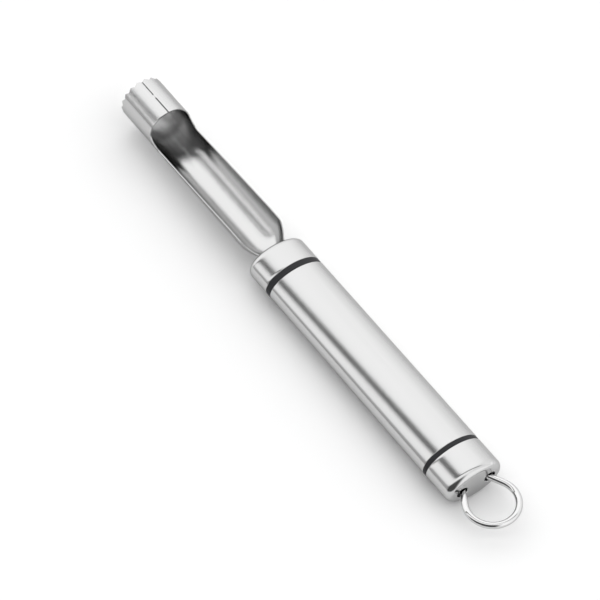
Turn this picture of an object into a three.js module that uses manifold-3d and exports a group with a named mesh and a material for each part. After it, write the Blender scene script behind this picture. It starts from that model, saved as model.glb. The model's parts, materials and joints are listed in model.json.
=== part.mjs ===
// Apple corer: a toothed steel cutting tube and trough on an oval steel handle with a hanging ring.
// Millimetres. X runs from the teeth to the ring, Z is up, and the trough opens upward.
import * as THREE from "three";
import { mergeVertices } from "three/addons/utils/BufferGeometryUtils.js";
import Module from "manifold-3d";

const wasm = await Module();
wasm.setup();

// Corer blade, one rolled sheet
const SHEET = 0.5;
const TUBE_DIAMETER = 19;
const TUBE_LENGTH = 20;
const TUBE_RISE = 5.45;
const TOOTH_COUNT = 18;
const TOOTH_DEPTH = 1.1;
const SEAM_GAP = 0.3;
const MOUTH_CORNER = 6.6;
const TROUGH_ANGLE_FRONT = 80;
const TROUGH_ANGLE_REAR = 92;
const BLADE_LENGTH = 92;
const NECK_LENGTH = 16.4;
const NECK_RADIUS = 5.8;
const NECK_BEND = 5.5;
const NECK_SWEEP = 5;
const SHOULDER_LENGTH = 10.7;
const TANG_ENTRY_ANGLE = 60;
const TANG_HALF_WIDTH = 4.5;
const TANG_FLATTEN = 9;

// Handle shells
const HANDLE_WIDTH = 24.7;
const HANDLE_HEIGHT = 15.9;
const FRONT_CAP_LENGTH = 12.65;
const FRONT_CAP_EDGE = 2.8;
const FRONT_BAND_WIDTH = 2.8;
const HANDLE_TUBE_LENGTH = 97.6;
const REAR_BAND_WIDTH = 2;
const REAR_CAP_LENGTH = 14.2;
const REAR_CAP_EDGE = 2.7;
const SHELL = 0.9;
const END_WALL = 1;
const SPIGOT_FIT = 0.1;
const SLOT_FIT = 0.35;

// Plugs, tie rod and its fixings inside the handle
const FRONT_PLUG_NOSE = 9;
const FRONT_PLUG_TAIL = 14;
const REAR_PLUG_NOSE = 14;
const REAR_PLUG_TAIL = 4;
const ROD_DIAMETER = 4;
const ROD_FIT = 0.2;
const ROD_OVERHANG = 0.8;
const TONGUE_GAP = 1;
const TONGUE_LENGTH = 16;
const TONGUE_WIDTH = 7;
const TONGUE_THICKNESS = 1.8;
const TONGUE_ROOT = 5;
const RIVET_DIAMETER = 2.6;
const RIVET_HEAD_DIAMETER = 4.6;
const RIVET_HEAD_HEIGHT = 1.1;
const RIVET_PITCH = 9;
const RIVET_FIT = 0.1;
const WASHER_DIAMETER = 9;
const WASHER_THICKNESS = 0.8;
const NUT_ACROSS_FLATS = 7;
const NUT_HEIGHT = 3.2;

// Hanging ring, one bent wire
const WIRE_DIAMETER = 2.6;
const LOOP_RADIUS = 9.8;
const LOOP_REACH = 9.4;
const RING_HOLE_SPACING = 12.4;
const RING_HOLE_PLAY = 2.1;
const HOOK_LENGTH = 3.7;
const HOOK_BEND = 1.5;
const HOOK_CLEARANCE = 0.3;

// Mesh fineness
const OVAL_SIDES = 40;
const ROUND_SIDES = 24;
const COLUMNS_PER_TOOTH = 4;
const NECK_COLUMNS = 28;
const NECK_ROWS = 22;
const SLOT_ROWS = 8;
const WIRE_SIDES = 10;
const WIRE_STEPS = 132;
const EDGE_STEPS = 6;
const DOME_STEPS = 5;
const CORNER_STEPS = 10;
const WELD_DISTANCE = 1e-4;
const FLAT_CURVATURE = 1e-6;
const OVERCUT = 1;

// Stations along X, from the teeth
const tubeRadius = TUBE_DIAMETER / 2;
const capFront = BLADE_LENGTH;
const neckStart = capFront - NECK_LENGTH;
const frontBandStart = capFront + FRONT_CAP_LENGTH;
const tubeStart = frontBandStart + FRONT_BAND_WIDTH;
const frontPlugEnd = tubeStart + FRONT_PLUG_TAIL;
const tongueStart = frontPlugEnd + TONGUE_GAP;
const tangEnd = tongueStart + TONGUE_LENGTH;
const tubeEnd = tubeStart + HANDLE_TUBE_LENGTH;
const rearCapStart = tubeEnd + REAR_BAND_WIDTH;
const handleEnd = rearCapStart + REAR_CAP_LENGTH;

// Heights above the handle's axis
const tangBottom = TUBE_RISE - NECK_RADIUS;
const tangTop = tangBottom + SHEET;
const tongueTop = tangTop + TONGUE_THICKNESS;

const halfWidth = HANDLE_WIDTH / 2;
const halfHeight = HANDLE_HEIGHT / 2;

const finishes = {
  satinSteel: { color: 0xb9bcbd, roughness: 0.34, metalness: 1 },
  bladeSteel: { color: 0xb0b3b4, roughness: 0.3, metalness: 1 },
  wireSteel: { color: 0xc8cbcc, roughness: 0.14, metalness: 1 },
  blackPlastic: { color: 0x17181a, roughness: 0.55, metalness: 0 },
  greyPlastic: { color: 0x4a4c4f, roughness: 0.6, metalness: 0 },
  zincSteel: { color: 0x9da1a3, roughness: 0.42, metalness: 1 },
};

function toSolid(geometry) {
  const bare = geometry.clone();
  bare.deleteAttribute("normal");
  bare.deleteAttribute("uv");
  const merged = mergeVertices(bare, WELD_DISTANCE);
  return new wasm.Manifold(
    new wasm.Mesh({
      numProp: 3,
      vertProperties: new Float32Array(merged.attributes.position.array),
      triVerts: new Uint32Array(merged.index.array),
    }),
  );
}

function toGeometry(solid) {
  const mesh = solid.getMesh();
  const geometry = new THREE.BufferGeometry();
  geometry.setAttribute("position", new THREE.BufferAttribute(mesh.vertProperties, 3));
  geometry.setIndex(new THREE.BufferAttribute(mesh.triVerts, 1));
  const flat = geometry.toNonIndexed();
  flat.computeVertexNormals();
  return flat;
}

function cut(geometry, ...tools) {
  return toGeometry(tools.reduce((solid, tool) => solid.subtract(toSolid(tool)), toSolid(geometry)));
}

function join(geometry, ...others) {
  return toGeometry(others.reduce((solid, other) => solid.add(toSolid(other)), toSolid(geometry)));
}

function fromTriangles(points, triangles) {
  const geometry = new THREE.BufferGeometry().setFromPoints(points);
  geometry.setIndex(triangles);
  return geometry;
}

// A closed oval body through stations of { x, inset }, flat at both ends, with a flat facet underneath.
function ovalBody(stations) {
  const points = [];
  const triangles = [];
  const flats = 1 / Math.cos(Math.PI / OVAL_SIDES);
  for (const { x, inset } of stations) {
    for (let k = 0; k < OVAL_SIDES; k++) {
      const turn = ((k + 0.5) * 2 * Math.PI) / OVAL_SIDES - Math.PI / 2;
      const y = (halfWidth - inset) * flats * Math.cos(turn);
      const z = (halfHeight - inset) * flats * Math.sin(turn);
      points.push(new THREE.Vector3(x, y, z));
    }
  }
  for (let i = 0; i + 1 < stations.length; i++) {
    for (let k = 0; k < OVAL_SIDES; k++) {
      const next = (k + 1) % OVAL_SIDES;
      const a = i * OVAL_SIDES + k;
      const b = i * OVAL_SIDES + next;
      triangles.push(a, b, b + OVAL_SIDES, a, b + OVAL_SIDES, a + OVAL_SIDES);
    }
  }
  const last = (stations.length - 1) * OVAL_SIDES;
  for (let k = 1; k + 1 < OVAL_SIDES; k++) {
    triangles.push(0, k + 1, k);
    triangles.push(last, last + k, last + k + 1);
  }
  return fromTriangles(points, triangles);
}

function ovalPrism(from, to, inset) {
  return ovalBody([
    { x: from, inset },
    { x: to, inset },
  ]);
}

// Stations of a rounded end at x, of the given radius, where side is -1 for a front end and 1 for a rear end.
function roundedEnd(x, radius, side, inset) {
  const stations = [];
  for (let i = 0; i <= EDGE_STEPS; i++) {
    const turn = ((i / EDGE_STEPS) * Math.PI) / 2;
    stations.push({
      x: x - side * radius * (1 - Math.sin(turn)),
      inset: inset + radius * (1 - Math.cos(turn)),
    });
  }
  return side < 0 ? stations.reverse() : stations;
}

// A closed sheet body from a grid; place(row, across, face) gives a point, with across from -1 to 1
// and face 0 on the underside or 1 on the upper side.
function sheetBody(rows, columns, place) {
  const points = [];
  const triangles = [];
  const at = (face, row, column) => (face * (rows + 1) + row) * (columns + 1) + column;
  const quad = (a, b, c, d) => triangles.push(a, b, c, a, c, d);
  for (let face = 0; face < 2; face++) {
    for (let row = 0; row <= rows; row++) {
      for (let column = 0; column <= columns; column++) {
        points.push(place(row, (2 * column) / columns - 1, face));
      }
    }
  }
  for (let row = 0; row < rows; row++) {
    for (let column = 0; column < columns; column++) {
      quad(at(0, row, column), at(0, row, column + 1), at(0, row + 1, column + 1), at(0, row + 1, column));
      quad(at(1, row, column), at(1, row + 1, column), at(1, row + 1, column + 1), at(1, row, column + 1));
    }
    quad(at(0, row, 0), at(0, row + 1, 0), at(1, row + 1, 0), at(1, row, 0));
    quad(at(0, row, columns), at(1, row, columns), at(1, row + 1, columns), at(0, row + 1, columns));
  }
  for (let column = 0; column < columns; column++) {
    quad(at(0, 0, column), at(1, 0, column), at(1, 0, column + 1), at(0, 0, column + 1));
    quad(at(0, rows, column), at(0, rows, column + 1), at(1, rows, column + 1), at(1, rows, column));
  }
  return fromTriangles(points, triangles);
}

// A point of a bent sheet, at a distance along the arc from the sheet's bottom line and a height above
// its underside.
function sheetPoint(x, { bottom, curvature }, along, height) {
  if (curvature < FLAT_CURVATURE) return new THREE.Vector3(x, along, bottom + height);
  const angle = along * curvature;
  const inner = 1 / curvature - height;
  return new THREE.Vector3(x, inner * Math.sin(angle), bottom + height + inner * (1 - Math.cos(angle)));
}

// Bottom line, curvature and half arc width of the sheet from the neck to the end of the tang.
function neckSection(x) {
  const narrowing = THREE.MathUtils.clamp((x - neckStart) / NECK_LENGTH, 0, 1);
  const flattening = THREE.MathUtils.smoothstep(x, capFront, capFront + TANG_FLATTEN);
  const depth = THREE.MathUtils.lerp(tubeRadius, NECK_RADIUS, narrowing ** NECK_SWEEP);
  const shoulder = Math.sin((Math.PI / 2) * THREE.MathUtils.clamp((capFront - x) / SHOULDER_LENGTH, 0, 1));
  const bend = THREE.MathUtils.lerp(NECK_BEND, tubeRadius, shoulder);
  const edgeRise = depth - tubeRadius * Math.cos(THREE.MathUtils.degToRad(TROUGH_ANGLE_REAR));
  const fullAngle = Math.acos(1 - edgeRise / bend);
  const angle = THREE.MathUtils.lerp(THREE.MathUtils.degToRad(TANG_ENTRY_ANGLE), fullAngle, shoulder);
  return {
    bottom: TUBE_RISE - depth,
    curvature: (1 - flattening) / bend,
    width: THREE.MathUtils.lerp(angle * bend, TANG_HALF_WIDTH, flattening),
  };
}

// The sheet from one station to another along the neck and tang, grown on every side by a clearance.
function neckBody(from, to, rows, grow) {
  return sheetBody(rows, NECK_COLUMNS, (row, across, face) => {
    const x = THREE.MathUtils.lerp(from, to, row / rows);
    const section = neckSection(x);
    return sheetPoint(x, section, across * (section.width + grow), face ? SHEET + grow : -grow);
  });
}

function cuttingTube() {
  const columns = TOOTH_COUNT * COLUMNS_PER_TOOTH;
  const halfArc = Math.PI * tubeRadius - SEAM_GAP / 2;
  const section = { bottom: TUBE_RISE - tubeRadius, curvature: 1 / tubeRadius };
  return sheetBody(2, columns, (row, across, face) => {
    const phase = (((across + 1) / 2) * TOOTH_COUNT) % 1;
    const notch = TOOTH_DEPTH * Math.abs(2 * phase - 1);
    const x = [notch, 2 * TOOTH_DEPTH, neckStart][row];
    return sheetPoint(x, section, across * halfArc, face ? SHEET : 0);
  });
}

// Side profile of the opening above the trough, square to the tube at the mouth with a rounded corner.
function troughWindow() {
  const edgeAt = (degrees) => TUBE_RISE - tubeRadius * Math.cos(THREE.MathUtils.degToRad(degrees));
  const above = TUBE_RISE + TUBE_DIAMETER;
  const cornerX = TUBE_LENGTH + MOUTH_CORNER;
  const cornerZ = edgeAt(TROUGH_ANGLE_FRONT) + MOUTH_CORNER;
  const past = neckStart + tubeRadius;
  const profile = new THREE.Shape();
  profile.moveTo(TUBE_LENGTH, above);
  profile.lineTo(TUBE_LENGTH, cornerZ);
  profile.absarc(cornerX, cornerZ, MOUTH_CORNER, Math.PI, 1.5 * Math.PI, false);
  profile.lineTo(neckStart, edgeAt(TROUGH_ANGLE_REAR));
  profile.lineTo(past, edgeAt(TROUGH_ANGLE_REAR));
  profile.lineTo(past, above);
  profile.closePath();
  const depth = 2 * TUBE_DIAMETER;
  const settings = { depth, bevelEnabled: false, curveSegments: CORNER_STEPS };
  const window = new THREE.ExtrudeGeometry(profile, settings);
  window.translate(0, 0, -depth / 2);
  window.rotateX(Math.PI / 2);
  return window;
}

const rivetStations = [-0.5, 0.5].map((side) => tongueStart + TONGUE_LENGTH / 2 + side * RIVET_PITCH);
const rearPlugEnd = rearCapStart + REAR_PLUG_TAIL;
const nutStart = rearPlugEnd + WASHER_THICKNESS;
const rodEnd = nutStart + NUT_HEIGHT + ROD_OVERHANG;

function uprightPin(x, diameter) {
  const pin = new THREE.CylinderGeometry(diameter / 2, diameter / 2, HANDLE_HEIGHT, ROUND_SIDES);
  pin.rotateX(Math.PI / 2);
  pin.translate(x, 0, 0);
  return pin;
}

function roundBar(from, to, diameter) {
  const bar = new THREE.CylinderGeometry(diameter / 2, diameter / 2, to - from, ROUND_SIDES);
  bar.rotateZ(Math.PI / 2);
  bar.translate((from + to) / 2, 0, 0);
  return bar;
}

function block(fromX, toX, width, fromZ, toZ) {
  const box = new THREE.BoxGeometry(toX - fromX, width, toZ - fromZ);
  box.translate((fromX + toX) / 2, 0, (fromZ + toZ) / 2);
  return box;
}

function corerBlade() {
  const trough = cut(cuttingTube(), troughWindow());
  const neck = neckBody(neckStart, capFront + TANG_FLATTEN, NECK_ROWS, 0);
  const tang = neckBody(capFront + TANG_FLATTEN, tangEnd, 1, 0);
  const holes = rivetStations.map((x) => uprightPin(x, RIVET_DIAMETER + 2 * RIVET_FIT));
  return cut(join(trough, neck, tang), ...holes);
}

function tangSlot(from, to) {
  const flat = capFront + TANG_FLATTEN;
  const slot = neckBody(from, Math.min(to, flat), SLOT_ROWS, SLOT_FIT);
  return to > flat ? join(slot, neckBody(flat, to, 1, SLOT_FIT)) : slot;
}

function frontCap() {
  const outer = ovalBody([...roundedEnd(capFront, FRONT_CAP_EDGE, -1, 0), { x: frontBandStart, inset: 0 }]);
  const edge = FRONT_CAP_EDGE - SHELL;
  const hollow = ovalBody([
    ...roundedEnd(capFront + END_WALL, edge, -1, SHELL),
    { x: frontBandStart + OVERCUT, inset: SHELL },
  ]);
  return cut(outer, hollow, tangSlot(capFront - OVERCUT, capFront + END_WALL + OVERCUT));
}

function rearCap() {
  const outer = ovalBody([{ x: rearCapStart, inset: 0 }, ...roundedEnd(handleEnd, REAR_CAP_EDGE, 1, 0)]);
  const edge = REAR_CAP_EDGE - SHELL;
  const hollow = ovalBody([
    { x: rearCapStart - OVERCUT, inset: SHELL },
    ...roundedEnd(handleEnd - END_WALL, edge, 1, SHELL),
  ]);
  const holes = [-1, 1].map((side) => {
    const inside = handleEnd - END_WALL - OVERCUT;
    const hole = roundBar(inside, handleEnd + OVERCUT, WIRE_DIAMETER + RING_HOLE_PLAY);
    hole.translate(0, (side * RING_HOLE_SPACING) / 2, 0);
    return hole;
  });
  return cut(outer, hollow, ...holes);
}

function shellRing(from, to) {
  return cut(ovalPrism(from, to, 0), ovalPrism(from - OVERCUT, to + OVERCUT, SHELL));
}

function frontPlug() {
  const from = frontBandStart - FRONT_PLUG_NOSE;
  const body = ovalPrism(from, frontPlugEnd, SHELL + SPIGOT_FIT);
  return cut(body, tangSlot(from - OVERCUT, frontPlugEnd + OVERCUT));
}

function rearPlug() {
  const from = tubeEnd - REAR_PLUG_NOSE;
  const body = ovalPrism(from, rearPlugEnd, SHELL + SPIGOT_FIT);
  return cut(body, roundBar(from - OVERCUT, rearPlugEnd + OVERCUT, ROD_DIAMETER + 2 * ROD_FIT));
}

function tieRod() {
  const tongue = block(tongueStart, tangEnd + TONGUE_GAP + TONGUE_ROOT, TONGUE_WIDTH, tangTop, tongueTop);
  const bar = roundBar(tangEnd + TONGUE_GAP, rodEnd, ROD_DIAMETER);
  const holes = rivetStations.map((x) => uprightPin(x, RIVET_DIAMETER + 2 * RIVET_FIT));
  return cut(join(tongue, bar), ...holes);
}

// A rivet with a low domed head under the tang and another over the tongue.
function tangRivet(x) {
  const profile = [new THREE.Vector2(0, tangBottom - RIVET_HEAD_HEIGHT)];
  const dome = (side, base) => (i) => {
    const turn = ((i / DOME_STEPS) * Math.PI) / 2;
    const radius = (RIVET_HEAD_DIAMETER / 2) * Math.sin(turn);
    return new THREE.Vector2(radius, base + side * RIVET_HEAD_HEIGHT * Math.cos(turn));
  };
  const lower = dome(-1, tangBottom);
  const upper = dome(1, tongueTop);
  for (let i = 1; i <= DOME_STEPS; i++) profile.push(lower(i));
  profile.push(new THREE.Vector2(RIVET_DIAMETER / 2, tangBottom));
  profile.push(new THREE.Vector2(RIVET_DIAMETER / 2, tongueTop));
  for (let i = DOME_STEPS; i >= 1; i--) profile.push(upper(i));
  profile.push(new THREE.Vector2(0, tongueTop + RIVET_HEAD_HEIGHT));
  const rivet = new THREE.LatheGeometry(profile, ROUND_SIDES);
  rivet.rotateX(Math.PI / 2);
  rivet.translate(x, 0, 0);
  return rivet;
}

// A flat plate across the handle, its outline pierced for the rod.
function piercedPlate(outline, from, thickness) {
  const bore = new THREE.Path();
  bore.absarc(0, 0, ROD_DIAMETER / 2 + ROD_FIT, 0, 2 * Math.PI, true);
  outline.holes.push(bore);
  const settings = { depth: thickness, bevelEnabled: false, curveSegments: ROUND_SIDES };
  const plate = new THREE.ExtrudeGeometry(outline, settings);
  plate.rotateY(Math.PI / 2);
  plate.translate(from, 0, 0);
  return plate;
}

function tieWasher() {
  const outline = new THREE.Shape();
  outline.absarc(0, 0, WASHER_DIAMETER / 2, 0, 2 * Math.PI, false);
  return piercedPlate(outline, rearPlugEnd, WASHER_THICKNESS);
}

function tieNut() {
  const corner = NUT_ACROSS_FLATS / Math.sqrt(3);
  const corners = [0, 1, 2, 3, 4, 5].map((k) => {
    const turn = (k * Math.PI) / 3;
    return new THREE.Vector2(corner * Math.sin(turn), corner * Math.cos(turn));
  });
  return piercedPlate(new THREE.Shape(corners.reverse()), nutStart, NUT_HEIGHT);
}

class PlanarArc extends THREE.Curve {
  constructor(centre, radius, from, to) {
    super();
    Object.assign(this, { centre, radius, from, to });
  }

  getPoint(t, target = new THREE.Vector3()) {
    const turn = THREE.MathUtils.lerp(this.from, this.to, t);
    return target.set(
      this.centre.x + this.radius * Math.cos(turn),
      this.centre.y + this.radius * Math.sin(turn),
      0,
    );
  }
}

// The ring's wire: hooks behind the end wall, legs out through the holes, and a loop the legs touch.
function hangingRing() {
  const hookLine = handleEnd - END_WALL - HOOK_CLEARANCE - WIRE_DIAMETER / 2;
  const holeY = RING_HOLE_SPACING / 2;
  const loopCentre = new THREE.Vector3(handleEnd + LOOP_REACH, 0, 0);
  const splay = Math.asin(LOOP_RADIUS / Math.hypot(LOOP_REACH, holeY)) - Math.atan2(holeY, LOOP_REACH);
  const footY = holeY - (handleEnd - hookLine) * Math.tan(splay);
  const bendReach = HOOK_BEND * Math.tan(Math.PI / 4 + splay / 2);
  const bendCentre = new THREE.Vector3(hookLine + HOOK_BEND, footY + bendReach, 0);
  const mirrored = (v) => new THREE.Vector3(v.x, -v.y, v.z);
  const path = new THREE.CurvePath();
  const hookTip = new THREE.Vector3(hookLine, footY + bendReach + HOOK_LENGTH - HOOK_BEND, 0);
  const bend = new PlanarArc(bendCentre, HOOK_BEND, Math.PI, 1.5 * Math.PI + splay);
  const loop = new PlanarArc(loopCentre, LOOP_RADIUS, Math.PI / 2 + splay, -Math.PI / 2 - splay);
  const farBend = new PlanarArc(mirrored(bendCentre), HOOK_BEND, 0.5 * Math.PI - splay, Math.PI);
  path.add(new THREE.LineCurve3(hookTip, bend.getPoint(0)));
  path.add(bend);
  path.add(new THREE.LineCurve3(bend.getPoint(1), loop.getPoint(0)));
  path.add(loop);
  path.add(new THREE.LineCurve3(loop.getPoint(1), farBend.getPoint(0)));
  path.add(farBend);
  path.add(new THREE.LineCurve3(farBend.getPoint(1), mirrored(hookTip)));
  const section = new THREE.Shape();
  for (let k = 0; k < WIRE_SIDES; k++) {
    const turn = (2 * Math.PI * k) / WIRE_SIDES;
    const x = (WIRE_DIAMETER / 2) * Math.cos(turn);
    const y = (WIRE_DIAMETER / 2) * Math.sin(turn);
    if (k === 0) section.moveTo(x, y);
    else section.lineTo(x, y);
  }
  section.closePath();
  return new THREE.ExtrudeGeometry(section, { steps: WIRE_STEPS, extrudePath: path, bevelEnabled: false });
}

const assembly = new THREE.Group();
assembly.name = "apple_corer";

function addPiece(parent, name, geometry, finish) {
  const mesh = new THREE.Mesh(geometry, new THREE.MeshStandardMaterial(finish));
  mesh.name = name;
  parent.add(mesh);
}

const handle = new THREE.Group();
handle.name = "handle_assembly";
assembly.add(handle);
addPiece(handle, "corer_blade", corerBlade(), finishes.bladeSteel);
addPiece(handle, "front_cap", frontCap(), finishes.satinSteel);
addPiece(handle, "front_band", shellRing(frontBandStart, tubeStart), finishes.blackPlastic);
addPiece(handle, "handle_tube", shellRing(tubeStart, tubeEnd), finishes.satinSteel);
addPiece(handle, "rear_band", shellRing(tubeEnd, rearCapStart), finishes.blackPlastic);
addPiece(handle, "rear_cap", rearCap(), finishes.satinSteel);
addPiece(handle, "front_plug", frontPlug(), finishes.greyPlastic);
addPiece(handle, "rear_plug", rearPlug(), finishes.greyPlastic);
addPiece(handle, "tie_rod", tieRod(), finishes.zincSteel);
addPiece(handle, "tang_rivet_front", tangRivet(rivetStations[0]), finishes.zincSteel);
addPiece(handle, "tang_rivet_rear", tangRivet(rivetStations[1]), finishes.zincSteel);
addPiece(handle, "tie_washer", tieWasher(), finishes.zincSteel);
addPiece(handle, "tie_nut", tieNut(), finishes.zincSteel);

const ring = new THREE.Group();
ring.name = "ring_assembly";
assembly.add(ring);
addPiece(ring, "hanging_ring", hangingRing(), finishes.wireSteel);

// The origin lies under the middle of the whole corer, on the table.
const extent = new THREE.Box3().setFromObject(assembly);
const middle = extent.getCenter(new THREE.Vector3());
for (const group of [handle, ring]) group.position.set(-middle.x, -middle.y, -extent.min.z);

export default assembly;
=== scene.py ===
"""Apple corer: the visible model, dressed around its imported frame.

The blade, the shells of the handle and the hanging ring are modelled finely on the sizes of the
frame, and the pieces inside the handle keep their solids. Lengths are metres, X runs from the teeth
to the ring and Z is up.
"""

import json
import logging
import math
from abc import ABC, abstractmethod
from collections.abc import Callable, Iterable, Mapping, Sequence
from dataclasses import dataclass, field
from enum import Enum
from typing import Any, Union

import bmesh
import bpy
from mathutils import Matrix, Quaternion, Vector


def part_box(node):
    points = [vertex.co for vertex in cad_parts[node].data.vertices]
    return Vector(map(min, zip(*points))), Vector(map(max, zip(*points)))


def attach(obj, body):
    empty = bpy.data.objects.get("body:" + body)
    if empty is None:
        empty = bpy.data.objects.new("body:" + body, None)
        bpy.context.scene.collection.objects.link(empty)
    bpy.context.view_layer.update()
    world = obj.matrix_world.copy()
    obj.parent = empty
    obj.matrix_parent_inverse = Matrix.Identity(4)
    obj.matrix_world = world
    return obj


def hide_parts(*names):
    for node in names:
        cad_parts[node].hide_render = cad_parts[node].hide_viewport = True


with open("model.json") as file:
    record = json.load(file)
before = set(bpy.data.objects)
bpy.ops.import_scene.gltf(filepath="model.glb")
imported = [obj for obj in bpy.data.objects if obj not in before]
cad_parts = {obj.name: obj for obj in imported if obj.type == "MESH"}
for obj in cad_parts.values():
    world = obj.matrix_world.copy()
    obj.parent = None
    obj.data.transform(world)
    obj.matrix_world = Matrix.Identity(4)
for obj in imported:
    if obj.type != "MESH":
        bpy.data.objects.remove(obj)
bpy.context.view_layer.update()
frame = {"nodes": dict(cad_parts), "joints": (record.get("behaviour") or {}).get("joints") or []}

LOG = logging.getLogger("apple_corer")
MM = 0.001
QUARTER_TURN = math.pi / 2
UP = Vector((0.0, 0.0, 1.0))
SHARP_ANGLE = math.radians(32)
RIM_SEGMENTS = 5
SOLIDIFY_INWARD = -1.0
NOISE_MIDDLE = 0.5
NOISE_DETAIL = 2.0
RAMP_MIDDLE = 0.5
MIX_COLOURS = (6, 7)
MIX_RESULT = 2
WHITE = (1.0, 1.0, 1.0)
SHEET_COLOUR = (0.53, 0.53, 0.53)
SHEET_ROUGHNESS = 0.14

Piece = bpy.types.Object
Socket = bpy.types.NodeSocket
Colour = tuple[float, float, float]
Triple = tuple[float, float, float]
Pair = tuple[float, float]
Operand = Union["Value", float]


class Body(Enum):
    """Bodies of the frame that a piece can ride on."""

    HANDLE = "handle"
    RING = "ring"


class Slot(Enum):
    """Material slots of the record that a piece takes its finish from."""

    BLADE_STEEL = "blade_steel"
    SATIN_STEEL = "satin_steel"
    WIRE_STEEL = "wire_steel"
    BLACK_PLASTIC = "black_plastic"
    GREY_PLASTIC = "grey_plastic"
    ZINC_STEEL = "zinc_steel"


class End(Enum):
    """The end of the handle that a cap closes, as the sign of its outward direction along X."""

    FRONT = -1
    REAR = 1


class Side(Enum):
    """The side of the handle that a hole for the ring is on, as its sign along Y."""

    NEAR = -1
    FAR = 1


# Shader nodes


class Value:
    """A number in a shader, whose arithmetic adds Math nodes."""

    def __init__(self, graph: "Graph", socket: Socket) -> None:
        """Wraps an output socket.

        Args:
            graph: Graph that the socket belongs to.
            socket: Output socket that holds the number.
        """
        self.graph = graph
        self.socket = socket

    def swing(self, size: float) -> "Value":
        """Turns noise from 0 to 1 into a change about 0 of a given size."""
        return (self - NOISE_MIDDLE) * size

    def smooth(self, low: float, high: float) -> "Value":
        """Rises smoothly from 0 to 1 between two limits.

        Args:
            low: Where the result is still 0.
            high: Where the result has reached 1.

        Returns:
            The smooth step.
        """
        settings = {"interpolation_type": "SMOOTHSTEP"}
        inputs = {"Value": self, "From Min": low, "From Max": high}
        return self.graph.value("ShaderNodeMapRange", settings, inputs)

    def __abs__(self) -> "Value":
        """Drops the sign."""
        return self.graph.calculate("ABSOLUTE", self)

    def __add__(self, other: Operand) -> "Value":
        """Adds."""
        return self.graph.calculate("ADD", self, other)

    def __radd__(self, other: Operand) -> "Value":
        """Adds to a plain number."""
        return self.graph.calculate("ADD", other, self)

    def __sub__(self, other: Operand) -> "Value":
        """Subtracts."""
        return self.graph.calculate("SUBTRACT", self, other)

    def __rsub__(self, other: Operand) -> "Value":
        """Subtracts from a plain number."""
        return self.graph.calculate("SUBTRACT", other, self)

    def __mul__(self, other: Operand) -> "Value":
        """Multiplies."""
        return self.graph.calculate("MULTIPLY", self, other)

    def __rmul__(self, other: Operand) -> "Value":
        """Multiplies a plain number."""
        return self.graph.calculate("MULTIPLY", other, self)

    def __truediv__(self, other: Operand) -> "Value":
        """Divides."""
        return self.graph.calculate("DIVIDE", self, other)

    def __rtruediv__(self, other: Operand) -> "Value":
        """Divides a plain number."""
        return self.graph.calculate("DIVIDE", other, self)


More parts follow.
